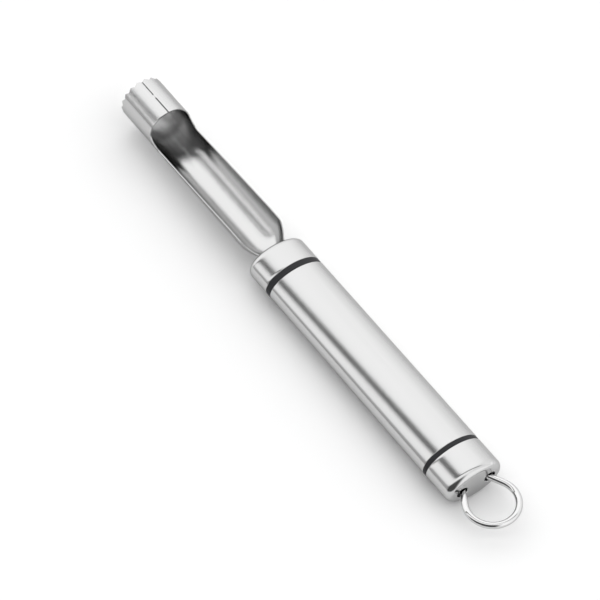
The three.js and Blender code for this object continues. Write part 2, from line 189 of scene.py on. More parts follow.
class Graph:
    """The node tree of a material or of the world."""

    def __init__(self, tree: bpy.types.NodeTree) -> None:
        """Empties a node tree.

        Args:
            tree: Node tree to fill.
        """
        self.tree = tree
        tree.nodes.clear()

    def node(
        self,
        kind: str,
        settings: Mapping[str, Any],
        inputs: Mapping[int | str, Any],
    ) -> bpy.types.Node:
        """Adds a node.

        Args:
            kind: Type name of the node.
            settings: Properties of the node, set first; stops are (position, colour) pairs of its ramp.
            inputs: Numbers, colours, values or sockets for its input sockets, by name or index.

        Returns:
            The new node.
        """
        made = self.tree.nodes.new(kind)
        for name, setting in settings.items():
            if name == "stops":
                self.set_stops(made.color_ramp, setting)
            else:
                setattr(made, name, setting)
        for name, given in inputs.items():
            given = given.socket if isinstance(given, Value) else given
            if isinstance(given, Socket):
                self.tree.links.new(given, made.inputs[name])
            else:
                made.inputs[name].default_value = given
        return made

    @staticmethod
    def set_stops(ramp: bpy.types.ColorRamp, stops: Sequence[tuple[float, Colour]]) -> None:
        """Gives a ramp its stops.

        Args:
            ramp: Ramp to change.
            stops: Position and colour of each stop, in rising order.
        """
        ramp.interpolation = "EASE"
        while len(ramp.elements) < len(stops):
            ramp.elements.new(1.0)
        for element, (position, colour) in zip(ramp.elements, stops):
            element.position = position
            element.color = opaque(colour)

    def socket(
        self,
        kind: str,
        settings: Mapping[str, Any],
        inputs: Mapping[int | str, Any],
        output: int | str = 0,
    ) -> Socket:
        """Adds a node and gives one of its outputs.

        Args:
            kind: Type name of the node.
            settings: Properties of the node.
            inputs: Values of its input sockets.
            output: Name or index of the output.

        Returns:
            The output socket.
        """
        return self.node(kind, settings, inputs).outputs[output]

    def value(
        self,
        kind: str,
        settings: Mapping[str, Any],
        inputs: Mapping[int | str, Any],
        output: int | str = 0,
    ) -> Value:
        """Adds a node and gives one of its outputs as a number.

        Args:
            kind: Type name of the node.
            settings: Properties of the node.
            inputs: Values of its input sockets.
            output: Name or index of the output.

        Returns:
            The output as a value.
        """
        return Value(self, self.socket(kind, settings, inputs, output))

    def calculate(self, operation: str, *operands: Operand) -> Value:
        """Adds a Math node.

        Args:
            operation: Name of the node's operation.
            operands: Operands of the operation, in order.

        Returns:
            The result of the operation.
        """
        return self.value("ShaderNodeMath", {"operation": operation}, dict(enumerate(operands)))

    def place(self) -> Socket:
        """Gives the place on the object, in the frame's metres."""
        return self.socket("ShaderNodeTexCoord", {}, {}, "Object")

    def normal(self) -> Socket:
        """Gives the direction that the surface faces."""
        return self.socket("ShaderNodeNewGeometry", {}, {}, "Normal")

    def rims(self) -> Value:
        """Gives how sharply the surface bends outward, which is high along rims."""
        return self.value("ShaderNodeNewGeometry", {}, {}, "Pointiness")

    def axes(self, vector: Socket) -> tuple[Value, Value, Value]:
        """Splits a vector.

        Args:
            vector: Socket of the vector.

        Returns:
            Its X, Y and Z.
        """
        split = self.node("ShaderNodeSeparateXYZ", {}, {0: vector})
        x, y, z = (Value(self, output) for output in split.outputs)
        return x, y, z

    def noise(self, vector: Socket, size: Triple) -> Value:
        """Adds noise of a given grain.

        Args:
            vector: Socket of the place.
            size: Length of a grain along X, Y and Z.

        Returns:
            Noise from 0 to 1.
        """
        factors = tuple(1.0 / length for length in size)
        stretched = self.socket("ShaderNodeVectorMath", {"operation": "MULTIPLY"}, {0: vector, 1: factors})
        inputs = {"Vector": stretched, "Scale": 1.0, "Detail": NOISE_DETAIL}
        return self.value("ShaderNodeTexNoise", {}, inputs)

    def mix(self, factor: Value, low: Colour | Socket, high: Colour | Socket) -> Socket:
        """Mixes two colours.

        Args:
            factor: Share of the second colour.
            low: First colour, or its socket.
            high: Second colour, or its socket.

        Returns:
            Socket of the mixed colour.
        """
        inputs: dict[int | str, Any] = {0: factor}
        for index, colour in zip(MIX_COLOURS, (low, high)):
            inputs[index] = opaque(colour) if isinstance(colour, tuple) else colour
        return self.socket("ShaderNodeMix", {"data_type": "RGBA"}, inputs, MIX_RESULT)

    def bump(self, height: Value) -> Socket:
        """Turns a height in metres into a normal.

        Args:
            height: Height over the surface.

        Returns:
            Socket of the normal.
        """
        inputs = {"Strength": 1.0, "Distance": 1.0, "Height": height}
        return self.socket("ShaderNodeBump", {}, inputs, "Normal")


def shaded(colour: Colour, factor: float) -> Colour:
    """Scales a colour.

    Args:
        colour: Colour to scale.
        factor: Factor on its brightness.

    Returns:
        The scaled colour.
    """
    red, green, blue = (channel * factor for channel in colour)
    return red, green, blue


def opaque(colour: Colour) -> tuple[float, float, float, float]:
    """Gives a colour full opacity."""
    return (*colour, 1.0)


# Finishes


@dataclass(frozen=True)
class Finish(ABC):
    """A surface finish that makes its own material."""

    slot: Slot
    colour: Colour
    roughness: float
    metallic: float = 1.0

    def material(self) -> bpy.types.Material:
        """Makes the material, once for each finish.

        Returns:
            The material of this finish.
        """
        name = f"{self.slot.value}_finish"
        made = bpy.data.materials.get(name)
        if made is None:
            made = bpy.data.materials.new(name)
            made.use_nodes = True
            graph = Graph(made.node_tree)
            inputs = {"Metallic": self.metallic, **self.constants(), **self.surface(graph)}
            shader = graph.node("ShaderNodeBsdfPrincipled", {}, inputs)
            graph.node("ShaderNodeOutputMaterial", {}, {"Surface": shader.outputs[0]})
        return made

    def constants(self) -> dict[str, Any]:
        """Gives the shader's other sockets that are the same all over."""
        return {}

    @abstractmethod
    def surface(self, graph: Graph) -> dict[str, Any]:
        """Builds what changes over the surface.

        Args:
            graph: Graph of the material.

        Returns:
            Values for the shader's sockets.
        """


@dataclass(frozen=True)
class Steel(Finish):
    """Satin steel: fine brushed lines, faint handling smudges and rims rubbed bright."""

    grain: Triple = (60 * MM, 0.1 * MM, 0.1 * MM)
    grain_depth: float = 0.0012 * MM
    grain_contrast: float = 0.05
    grain_roughness: float = 0.05
    smudge: Triple = (26 * MM, 11 * MM, 11 * MM)
    smudge_roughness: float = 0.04
    grazing_tint: Colour = (0.6, 0.6, 0.6)
    wear_start: float = 0.52
    wear_end: float = 0.58
    wear_lift: float = 1.1
    wear_polish: float = 0.05

    def constants(self) -> dict[str, Any]:
        """Gives steel's weaker shine at a grazing view."""
        return {"Specular Tint": opaque(self.grazing_tint)}

    def relief(self, graph: Graph) -> Value | float:
        """Gives the depth of the brushed lines."""
        return self.grain_depth

    def worn(self, graph: Graph) -> Value:
        """Gives 1 along rubbed rims and 0 elsewhere."""
        return graph.rims().smooth(self.wear_start, self.wear_end)

    def surface(self, graph: Graph) -> dict[str, Any]:
        """Builds the brushed lines, smudges and rubbed rims.

        Args:
            graph: Graph of the material.

        Returns:
            Values for the shader's sockets.
        """
        place = graph.place()
        lines = graph.noise(place, self.grain)
        smudges = graph.noise(place, self.smudge)
        worn = self.worn(graph)
        dark = shaded(self.colour, 1 - self.grain_contrast)
        light = shaded(self.colour, 1 + self.grain_contrast)
        brushed = graph.mix(lines, dark, light)
        rough = self.roughness + lines.swing(self.grain_roughness) + smudges.swing(self.smudge_roughness)
        return {
            "Base Color": graph.mix(worn, brushed, shaded(self.colour, self.wear_lift)),
            "Roughness": rough - worn * self.wear_polish,
            "Normal": graph.bump(lines * self.relief(graph)),
        }


@dataclass(frozen=True)
class BladeSteel(Steel):
    """Steel of the blade, brushed more coarsely inside, duller in the tube with painted shade on its inner
    wall, painted shade along the seam and darker rims.
    """

    slot: Slot = Slot.BLADE_STEEL
    colour: Colour = SHEET_COLOUR
    roughness: float = SHEET_ROUGHNESS
    grain_depth: float = 0.009 * MM
    wear_lift: float = 0.75
    wear_polish: float = -0.1
    axis_height: float = field(kw_only=True)
    mouth: float = field(kw_only=True)
    tack: float = field(kw_only=True)
    inner_depth: float = 0.0175 * MM
    inner_blend: float = 0.3
    # Painted shade: the inner wall of the tube is darkened up to near the mouth, and it is also rougher.
    dull_and_shade_limits: Pair = (4 * MM, 0.5 * MM)
    dull_and_shade_colour: Colour = (0.28, 0.28, 0.28)
    dull_roughness: float = 0.04
    # Painted shade: a dark strip along the seam gap on top of the tube, broken at the tack.
    seam_shade_limits: Pair = (0.15 * MM, 0.36 * MM)
    seam_shade_break: Pair = (0.7 * MM, 1.1 * MM)
    seam_shade_colour: Colour = (0.06, 0.06, 0.06)

    def worn(self, graph: Graph) -> Value:
        """Gives 1 on the cut rims, which look along the sheet, and 0 on its two sides."""
        facing = self.facing(graph)
        return super().worn(graph) * (1.0 - facing * facing)

    def facing(self, graph: Graph) -> Value:
        """Finds which way the surface looks.

        Args:
            graph: Graph of the material.

        Returns:
            1 where the surface faces away from the axis of the tube, -1 where it faces the axis.
        """
        _, y, z = graph.axes(graph.place())
        _, across, upward = graph.axes(graph.normal())
        height = z - self.axis_height
        distance = graph.calculate("SQRT", y * y + height * height)
        return (y * across + height * upward) / distance

    def inside(self, graph: Graph) -> Value:
        """Gives 1 on the inner side of the sheet and 0 on the outer side."""
        return 1.0 - self.facing(graph).smooth(-self.inner_blend, self.inner_blend)

    def relief(self, graph: Graph) -> Value | float:
        """Gives the depth of the brushed lines, deeper inside."""
        return self.grain_depth + self.inside(graph) * (self.inner_depth - self.grain_depth)

    def surface(self, graph: Graph) -> dict[str, Any]:
        """Builds the brushed lines, the duller wall in the tube with its painted shade and the painted
        shade along the seam, which stops at the tack.

        Args:
            graph: Graph of the material.

        Returns:
            Values for the shader's sockets.
        """
        sockets = super().surface(graph)
        x, y, z = graph.axes(graph.place())
        # Painted shade darkens the tube's inner wall, which is also rougher.
        deep, shallow = self.dull_and_shade_limits
        dull_and_shade = self.inside(graph) * (1.0 - x.smooth(self.mouth - deep, self.mouth - shallow))
        # Painted shade along the seam gap, broken at the tack.
        full, faded = self.seam_shade_limits
        strip = 1.0 - abs(y).smooth(full, faded)
        broken = abs(x - self.tack).smooth(*self.seam_shade_break)
        seam_shade = strip * broken * z.smooth(self.axis_height, self.axis_height + faded)
        colour = graph.mix(dull_and_shade, sockets["Base Color"], self.dull_and_shade_colour)
        sockets["Base Color"] = graph.mix(seam_shade, colour, self.seam_shade_colour)
        sockets["Roughness"] = sockets["Roughness"] + dull_and_shade * self.dull_roughness
        return sockets


@dataclass(frozen=True)
class Plastic(Finish):
    """Moulded plastic with a fine matt grain and lighter rubbed patches."""

    metallic: float = 0.0
    grain: Triple = (0.22 * MM, 0.22 * MM, 0.22 * MM)
    grain_depth: float = 0.01 * MM
    rub: Triple = (4 * MM, 4 * MM, 4 * MM)
    rub_lift: float = 1.6
    rub_roughness: float = 0.12
    shine: float = 0.2

    def constants(self) -> dict[str, Any]:
        """Gives the weak shine of matt plastic."""
        return {"Specular IOR Level": self.shine}

    def surface(self, graph: Graph) -> dict[str, Any]:
        """Builds the matt grain and the rubbed patches.

        Args:
            graph: Graph of the material.

        Returns:
            Values for the shader's sockets.
        """
        place = graph.place()
        grains = graph.noise(place, self.grain)
        rubbed = graph.noise(place, self.rub)
        return {
            "Base Color": graph.mix(rubbed, self.colour, shaded(self.colour, self.rub_lift)),
            "Roughness": self.roughness + rubbed.swing(self.rub_roughness),
            "Normal": graph.bump(grains * self.grain_depth),
        }


SATIN_STEEL = Steel(Slot.SATIN_STEEL, SHEET_COLOUR, SHEET_ROUGHNESS, grain_depth=0.005 * MM)
WIRE_STEEL = Steel(
    Slot.WIRE_STEEL,
    colour=(0.6, 0.6, 0.6),
    roughness=0.06,
    grain_roughness=0.03,
    smudge_roughness=0.03,
)
ZINC_STEEL = Steel(
    Slot.ZINC_STEEL,
    colour=(0.55, 0.57, 0.58),
    roughness=0.4,
    grain=(0.6 * MM, 0.6 * MM, 0.6 * MM),
)
BLACK_PLASTIC = Plastic(Slot.BLACK_PLASTIC, colour=(0.016, 0.016, 0.018), roughness=0.5)
GREY_PLASTIC = Plastic(Slot.GREY_PLASTIC, colour=(0.07, 0.07, 0.075), roughness=0.6)


# Meshes


class Draft:
    """Points and faces of a mesh under way."""

    def __init__(self) -> None:
        """Starts an empty mesh."""
        self.points: list[Vector] = []
        self.faces: list[tuple[int, ...]] = []

    def row(self, points: Iterable[Vector]) -> list[int]:
        """Adds a row of points.

        Args:
            points: Points of the row, in order.

        Returns:
            Their numbers in the mesh.
        """
        start = len(self.points)
        self.points.extend(points)
        return list(range(start, len(self.points)))

    def bridge(self, first: Sequence[int], second: Sequence[int], closed: bool) -> None:
        """Joins two rows of the same length by quads.

        Args:
            first: Numbers of the first row.
            second: Numbers of the second row.
            closed: Whether the rows are rings.
        """
        pairs = list(zip(first, second))
        following = pairs[1:] + pairs[:1] if closed else pairs[1:]
        self.faces.extend((a, c, d, b) for (a, b), (c, d) in zip(pairs, following))

    def to_object(self, name: str) -> Piece:
        """Makes the mesh and links it into the scene.

        Args:
            name: Name of the object.

        Returns:
            The new object.
        """
        mesh = bpy.data.meshes.new(name)
        mesh.from_pydata(self.points, [], self.faces)
        made = bpy.data.objects.new(name, mesh)
        bpy.context.scene.collection.objects.link(made)
        return made


def loft(name: str, sections: Iterable[Iterable[Vector]], looped: bool = False) -> Piece:
    """Makes a closed solid through a run of sections.

    Args:
        name: Name of the object.
        sections: Points round each section, the same number for all.
        looped: Whether the last section joins the first, and otherwise both get an end face.

    Returns:
        The new object, with its faces pointing outward.
    """
    draft = Draft()
    rings = [draft.row(section) for section in sections]
    for first, second in zip(rings, rings[1:]):
        draft.bridge(first, second, closed=True)
    if looped:
        draft.bridge(rings[-1], rings[0], closed=True)
    else:
        draft.faces.append(tuple(rings[0]))
        draft.faces.append(tuple(rings[-1]))
    piece = draft.to_object(name)
    work = bmesh.new()
    work.from_mesh(piece.data)
    bmesh.ops.recalc_face_normals(work, faces=work.faces)
    work.to_mesh(piece.data)
    work.free()
    return piece


def apply_modifiers(piece: Piece) -> None:
    """Puts the result of an object's modifiers into its mesh.

    Args:
        piece: Object to change.
    """
    evaluated = piece.evaluated_get(bpy.context.evaluated_depsgraph_get())
    old = piece.data
    new = bpy.data.meshes.new_from_object(evaluated)
    piece.modifiers.clear()
    piece.data = new
    new.name = piece.name
    bpy.data.meshes.remove(old)


def cut(piece: Piece, cutters: Iterable[Piece]) -> None:
    """Cuts solids out of a piece and removes them.

    Args:
        piece: Object to cut.
        cutters: Closed solids to take away.
    """
    for cutter in cutters:
        modifier = piece.modifiers.new("cut", "BOOLEAN")
        modifier.operation = "DIFFERENCE"
        modifier.solver = "EXACT"
        modifier.object = cutter
        apply_modifiers(piece)
        mesh = cutter.data
        bpy.data.objects.remove(cutter)
        bpy.data.meshes.remove(mesh)


def soften(piece: Piece, rim: float, share: Callable[[Vector], float]) -> None:
    """Rounds the sharp edges of a piece and shades it smooth.

    Args:
        piece: Object to change.
        rim: Greatest width of the rounding.
        share: Share of that width for an edge at a place.
    """
    work = bmesh.new()
    work.from_mesh(piece.data)
    weights = work.edges.layers.float.new("bevel_weight_edge")
    for edge in work.edges:
        if edge.is_manifold and edge.calc_face_angle() > SHARP_ANGLE:
            edge[weights] = share((edge.verts[0].co + edge.verts[1].co) / 2)
    work.to_mesh(piece.data)
    work.free()
    modifier = piece.modifiers.new("rim", "BEVEL")
    modifier.width = rim
    modifier.segments = RIM_SEGMENTS
    modifier.limit_method = "WEIGHT"
    apply_modifiers(piece)
    shade(piece)


def shade(piece: Piece) -> None:
    """Shades a piece smooth, with its sharp edges kept.

    Args:
        piece: Object to change.
    """
    piece.data.shade_smooth()
    piece.data.set_sharp_from_angle(angle=SHARP_ANGLE)
    modifier = piece.modifiers.new("normals", "WEIGHTED_NORMAL")
    modifier.keep_sharp = True
    apply_modifiers(piece)


def lerp(low: float, high: float, share: float) -> float:
    """Goes a share of the way from one number to another."""
    return low + (high - low) * share


def clamp(number: float) -> float:
    """Limits a number to 0 to 1."""
    return min(1.0, max(0.0, number))


def smoothstep(low: float, high: float, number: float) -> float:
    """Rises smoothly from 0 at low to 1 at high."""
    share = clamp((number - low) / (high - low))
    return share * share * (3 - 2 * share)


def spaced(low: float, high: float, count: int) -> list[float]:
    """Lists evenly spaced numbers from low to high, both included."""
    return [lerp(low, high, i / count) for i in range(count + 1)]


def full_turn(sides: int) -> list[float]:
    """Lists the angles of a full turn in even steps, without its end."""
    return spaced(0.0, math.tau, sides)[:-1]


# Sub-assemblies


class Assembly(ABC):
    """A group of pieces that are built and dressed together."""

    @abstractmethod
    def build(self) -> None:
        """Builds the pieces and dresses them."""

    @staticmethod
    def coat(piece: Piece, finish: Finish) -> None:
        """Gives a piece its finish.

        Args:
            piece: Piece to coat.
            finish: Finish of its surface.
        """
        piece.data.materials.clear()
        piece.data.materials.append(finish.material())

    def dress(self, piece: Piece, node: str, body: Body, finish: Finish) -> None:
        """Gives a piece its body, the solid that it stands for and its finish.

        Args:
            piece: New piece.
            node: Solid of the frame that it replaces.
            body: Body that it moves with.
            finish: Finish of its surface.
        """
        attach(piece, body.value)
        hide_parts(node)
        self.coat(piece, finish)
        LOG.info("%s stands for %s in %s", piece.name, node, finish.slot.value)


@dataclass
class Blade(Assembly):
    """The rolled sheet: toothed tube, trough, neck and tang.

    One tack closes the seam on top of the tube, tack_share of the way along it. The rims of the tube stay
    crisp, with only crisp_share of the rounding. The floor of the neck rises as the power neck_sweep of
    the way to the cap.
    """

    sheet: float = 0.5 * MM
    tube_length: float = 20 * MM
    tooth_count: int = 18
    tooth_depth: float = 1.1 * MM
    seam_gap: float = 0.3 * MM
    mouth_corner: float = 6.6 * MM
    trough_angle_front: float = math.radians(80)
    trough_angle_rear: float = math.radians(92)
    neck_length: float = 16.4 * MM
    neck_radius: float = 5.8 * MM
    neck_bend: float = 5.5 * MM
    neck_sweep: int = 5
    shoulder_length: float = 10.7 * MM
    tang_entry_angle: float = math.radians(60)
    tang_half_width: float = 4.5 * MM
    tang_flatten: float = 9 * MM
    rivet_hole: float = 2.8 * MM
    rim: float = 0.24 * MM
    crisp_share: float = 0.15
    tack_share: float = 0.5
    tack_length: float = 1.6 * MM
    tack_gap: float = 0.05 * MM
    columns_per_tooth: int = 12
    corner_columns: int = 35
    tube_rows: int = 50
    corner_rows: int = 18
    trough_rows: int = 40
    neck_rows: int = 48
    entry_rows: int = 24
    tang_rows: int = 12
    pin_sides: int = 32
    slot_rows: int = 8
    slot_columns: int = 40
    teeth: float = field(init=False)
    tang_end: float = field(init=False)
    radius: float = field(init=False)
    axis: float = field(init=False)
    cap_front: float = field(init=False)

    def __post_init__(self) -> None:
        """Reads the blade's place from the frame."""
        low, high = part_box("corer_blade")
        self.teeth, self.tang_end = low.x, high.x
        self.radius = (high.y - low.y) / 2
        self.axis = low.z + self.radius
        self.cap_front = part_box("front_cap")[0].x

    @property
    def mouth(self) -> float:
        """X of the rear edge of the cutting tube."""
        return self.teeth + self.tube_length

    @property
    def neck_start(self) -> float:
        """X where the trough starts to narrow."""
        return self.cap_front - self.neck_length

    def finish(self) -> BladeSteel:
        """Finish of the blade, with painted shade on its duller wall in the tube and along the seam, which
        stops at its tack.
        """
        tack = lerp(self.teeth, self.mouth, self.tack_share)
        return BladeSteel(axis_height=self.axis, mouth=self.mouth, tack=tack)

    def build(self) -> None:
        """Builds the sheet, gives it its thickness and rivet holes, and dresses it."""
        draft = Draft()
        tube = [draft.row(row) for row in self.tube_points()]
        inner = self.corner_columns
        shared = tube[-1][inner:-inner]
        trough = [shared, *(draft.row(row) for row in self.trough_points(len(shared) - 1))]
        for run in (tube, trough):
            for first, second in zip(run, run[1:]):
                draft.bridge(first, second, closed=False)
        piece = draft.to_object("rolled_blade")
        thickness = piece.modifiers.new("sheet", "SOLIDIFY")
        thickness.thickness = self.sheet
        thickness.offset = SOLIDIFY_INWARD
        apply_modifiers(piece)
        cut(piece, (self.rivet_pin(node) for node in ("tang_rivet_front", "tang_rivet_rear")))
        soften(piece, self.rim, lambda place: 1.0 if place.x > self.mouth else self.crisp_share)
        self.dress(piece, "corer_blade", Body.HANDLE, self.finish())

    def sheet_point(self, x: float, radius: float, curvature: float, along: float) -> Vector:
        """Places a point on the outside of the bent sheet.

        Args:
            x: Station along the blade.
            radius: Distance of the sheet's bottom line below the tube's axis.
            curvature: Curvature of the section, 0 where it is flat.
            along: Distance round the section from its bottom line.

        Returns:
            The point.
        """
        bottom = self.axis - radius
        if curvature == 0:
            return Vector((x, along, bottom))
        turn = along * curvature
        return Vector((x, math.sin(turn) / curvature, bottom + (1 - math.cos(turn)) / curvature))

    def tube_points(self) -> Iterable[list[Vector]]:
        """Lists the rows of the cutting tube, from the teeth to the mouth.

        Returns:
            Rows of points round the tube, from one side of the seam to the other.
        """
        count = self.tooth_count * self.columns_per_tooth
        corner = self.edge_angle(self.mouth)
        side = self.corner_columns
        fade = self.tube_length / (2 * self.tooth_depth)
        for share in spaced(0.0, 1.0, self.tube_rows):
            away = abs(share - self.tack_share) * self.tube_length
            opening = smoothstep(self.tack_length / 2, self.tack_length, away)
            gap = lerp(self.tack_gap, self.seam_gap, opening)
            half_turn = math.pi - gap / (2 * self.radius)
            turns = spaced(-half_turn, -corner, side)[:-1]
            turns += spaced(-corner, corner, count - 2 * side)
            turns += spaced(corner, half_turn, side)[1:]
            row = []
            for column, turn in enumerate(turns):
                phase = column / self.columns_per_tooth % 1
                notch = self.tooth_depth * abs(2 * phase - 1) * clamp(1 - share * fade)
                x = self.teeth + notch + share * self.tube_length
                row.append(self.sheet_point(x, self.radius, 1 / self.radius, turn * self.radius))
            yield row

    def edge_angle(self, x: float) -> float:
        """Gives the half angle of the trough's section at a station between the mouth and the neck.

        Args:
            x: Station along the blade.

        Returns:
            Angle from the bottom line to the trough's edge.
        """
        front = -self.radius * math.cos(self.trough_angle_front)
        rear = -self.radius * math.cos(self.trough_angle_rear)
        start = self.mouth + self.mouth_corner
        if x < start:
            height = front + self.mouth_corner - math.sqrt(self.mouth_corner**2 - (start - x) ** 2)
        else:
            height = lerp(front, rear, (x - start) / (self.neck_start - start))
        return math.acos(-height / self.radius)

    def trough_points(self, columns: int) -> Iterable[list[Vector]]:
        """Lists the rows from behind the mouth to the end of the tang.

        Args:
            columns: Number of steps across the sheet.

        Returns:
            Rows of points across the sheet.
        """
        shares = spaced(-1.0, 1.0, columns)
        corner = self.mouth_corner
        quarter = spaced(0.0, QUARTER_TURN, self.corner_rows)[1:]
        stations = [self.mouth + corner * (1 - math.cos(turn)) for turn in quarter]
        stations += spaced(self.mouth + corner, self.neck_start, self.trough_rows)[1:]
        for x in stations:
            width = self.edge_angle(x) * self.radius
            yield [self.sheet_point(x, self.radius, 1 / self.radius, share * width) for share in shares]
        flat = self.cap_front + self.tang_flatten
        stations = spaced(self.neck_start, self.cap_front, self.neck_rows)[1:]
        stations += spaced(self.cap_front, flat, self.entry_rows)[1:]
        stations += spaced(flat, self.tang_end, self.tang_rows)[1:]
        for x in stations:
            radius, curvature, width = self.neck_section(x)
            yield [self.sheet_point(x, radius, curvature, share * width) for share in shares]

    def neck_section(self, x: float) -> Triple:
        """Gives the section of the sheet on the neck or the tang.

        Args:
            x: Station along the blade.

        Returns:
            Depth of the bottom line below the tube's axis, curvature and half width round the section.
        """
        narrowing = clamp((x - self.neck_start) / self.neck_length)
        flattening = smoothstep(self.cap_front, self.cap_front + self.tang_flatten, x)
        depth = lerp(self.radius, self.neck_radius, narrowing**self.neck_sweep)
        shoulder = math.sin(QUARTER_TURN * clamp((self.cap_front - x) / self.shoulder_length))
        bend = lerp(self.neck_bend, self.radius, shoulder)
        edge_rise = depth - self.radius * math.cos(self.trough_angle_rear)
        angle = lerp(self.tang_entry_angle, math.acos(1 - edge_rise / bend), shoulder)
        return depth, (1 - flattening) / bend, lerp(angle * bend, self.tang_half_width, flattening)

    def rivet_pin(self, node: str) -> Piece:
        """Makes the solid that cuts a rivet's hole through the tang.

        Args:
            node: Rivet of the frame.

        Returns:
            An upright pin.
        """
        low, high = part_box(node)
        middle = (low.x + high.x) / 2
        radius = self.rivet_hole / 2
        turns = full_turn(self.pin_sides)
        circle = [(middle + radius * math.cos(t), radius * math.sin(t)) for t in turns]
        return loft("rivet_pin", ([Vector((x, y, z)) for x, y in circle] for z in (low.z, high.z)))

    def slot_solid(self, clearance: float, reach: float) -> Piece:
        """Makes the solid that cuts the neck's slot through the front cap.

        Args:
            clearance: Room left round the sheet.
            reach: How far the solid goes behind the face of the cap.

        Returns:
            A curved bar, grown from the section of the neck.
        """
        sections = []
        for x in spaced(self.cap_front - reach, self.cap_front + reach, self.slot_rows):
            radius, curvature, width = self.neck_section(x)
            bent = 1 / curvature
            outer, inner = bent + clearance, bent - self.sheet - clearance
            half_turn = (width + clearance) * curvature
            turns = spaced(-half_turn, half_turn, self.slot_columns)
            centre = self.axis - radius + bent
            arcs = [(outer, turn) for turn in turns] + [(inner, turn) for turn in reversed(turns)]
            sections.append([Vector((x, r * math.sin(t), centre - r * math.cos(t))) for r, t in arcs])
        return loft("slot_solid", sections)


@dataclass
class Handle(Assembly):
    """The oval stack: front cap, black band, tube, black band and rear cap."""

    blade: Blade
    shell: float = 0.9 * MM
    end_wall: float = 1.0 * MM
    front_edge: float = 2.8 * MM
    rear_edge: float = 2.7 * MM
    rim: float = 0.22 * MM
    band_recess: float = 0.1 * MM
    slot_clearance: float = 0.2 * MM
    hole_diameter: float = 4.7 * MM
    hole_spacing: float = 12.4 * MM
    hole_chamfer: float = 0.25 * MM
    front_dome: float = 0.0
    rear_dome: float = 0.3 * MM
    dome_steps: int = 8
    sides: int = 160
    edge_steps: int = 14
    rim_steps: int = 4
    length_steps: int = 12
    hole_sides: int = 48
    half_width: float = field(init=False)
    half_height: float = field(init=False)
    axis: float = field(init=False)

    def __post_init__(self) -> None:
        """Reads the handle's oval from the frame."""
        low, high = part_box("handle_tube")
        self.half_width = (high.y - low.y) / 2
        self.half_height = (high.z - low.z) / 2
        self.axis = (low.z + high.z) / 2

    @property
    def cutter_reach(self) -> float:
        """How far the solids that cut slot and holes go behind the face of a cap."""
        return 2 * self.end_wall

    def build(self) -> None:
        """Builds and dresses the five shells."""
        for name, node, recess, finish in (
            ("front_band_ring", "front_band", self.band_recess, BLACK_PLASTIC),
            ("handle_tube_shell", "handle_tube", 0.0, SATIN_STEEL),
            ("rear_band_ring", "rear_band", self.band_recess, BLACK_PLASTIC),
        ):
            piece = self.sleeve(name, node, recess)
            self.dress(piece, node, Body.HANDLE, finish)
        front = self.cap("front_cap_shell", "front_cap", End.FRONT, self.front_edge, self.front_dome)
        cut(front, [self.blade.slot_solid(self.slot_clearance, self.cutter_reach)])
        shade(front)
        self.dress(front, "front_cap", Body.HANDLE, SATIN_STEEL)
        rear = self.cap("rear_cap_shell", "rear_cap", End.REAR, self.rear_edge, self.rear_dome)
        cut(rear, (self.hole_solid(side) for side in Side))
        shade(rear)
        self.dress(rear, "rear_cap", Body.HANDLE, SATIN_STEEL)

    def oval(self, x: float, inset: float) -> list[Vector]:
        """Lists the points of the handle's oval at a station.

        Args:
            x: Station along the handle.
            inset: Distance inside the outer face.

        Returns:
            Points round the oval.
        """
        turns = full_turn(self.sides)
        width, height = self.half_width - inset, self.half_height - inset
        return [Vector((x, width * math.cos(t), self.axis + height * math.sin(t))) for t in turns]

    @staticmethod
    def round_off(x: float, inset: float, radius: float, end: End, steps: int) -> list[Pair]:
        """Lists the stations of a rounded edge, from the end face to the outer face.

        Args:
            x: Place of the end face.
            inset: Inset of the outer face.
            radius: Radius of the edge.
            end: Which way the end face looks.
            steps: Number of steps round the edge.

        Returns:
            Pairs of x and inset.
        """
        stations = []
        for turn in spaced(0.0, QUARTER_TURN, steps):
            back = radius * (1 - math.cos(turn))
            stations.append((x - end.value * back, inset + radius * (1 - math.sin(turn))))
        return stations

    def sleeve(self, name: str, node: str, recess: float) -> Piece:
        """Builds an open oval sleeve with rounded rims.

        Args:
            name: Name of the piece.
            node: Solid of the frame whose place it takes.
            recess: Depth of its outer face below that of the handle.

        Returns:
            The sleeve.
        """
        low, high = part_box(node)
        front = self.round_off(low.x, recess, self.rim, End.FRONT, self.rim_steps)
        rear = self.round_off(high.x, recess, self.rim, End.REAR, self.rim_steps)
        sides = [(x, recess) for x in spaced(front[-1][0], rear[-1][0], self.length_steps)[1:-1]]
        bore = [(high.x, self.shell), (low.x, self.shell)]
        profile = [*front, *sides, *reversed(rear), *bore]
        piece = loft(name, (self.oval(x, inset) for x, inset in profile), looped=True)
        shade(piece)
        return piece

    def cap(self, name: str, node: str, end: End, edge: float, dome: float) -> Piece:
        """Builds a hollow oval cap with a rounded end.

        Args:
            name: Name of the piece.
            node: Solid of the frame whose place it takes.
            end: End of the handle that the cap closes.
            edge: Radius of its rounded end.
            dome: Rise of the end face from its rim to its middle.

        Returns:
            The cap.
        """
        low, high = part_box(node)
        closed, opened = (low.x, high.x) if end is End.FRONT else (high.x, low.x)
        other = End.REAR if end is End.FRONT else End.FRONT
        shares = spaced(0.0, 1.0, self.dome_steps)[1:-1]
        crown = [(closed - end.value * dome * s**2, lerp(self.half_height, edge, s)) for s in shares]
        outer = self.round_off(closed - end.value * dome, 0.0, edge, end, self.edge_steps)
        lip = self.round_off(opened, 0.0, self.rim, other, self.rim_steps)
        inside = closed - end.value * self.end_wall
        inner = self.round_off(inside, self.shell, edge - self.shell, end, self.edge_steps)
        sides = [(x, 0.0) for x in spaced(outer[-1][0], lip[-1][0], self.length_steps)[1:-1]]
        profile = [*crown, *outer, *sides, *reversed(lip), (opened, self.shell), *reversed(inner)]
        return loft(name, (self.oval(x, inset) for x, inset in profile))

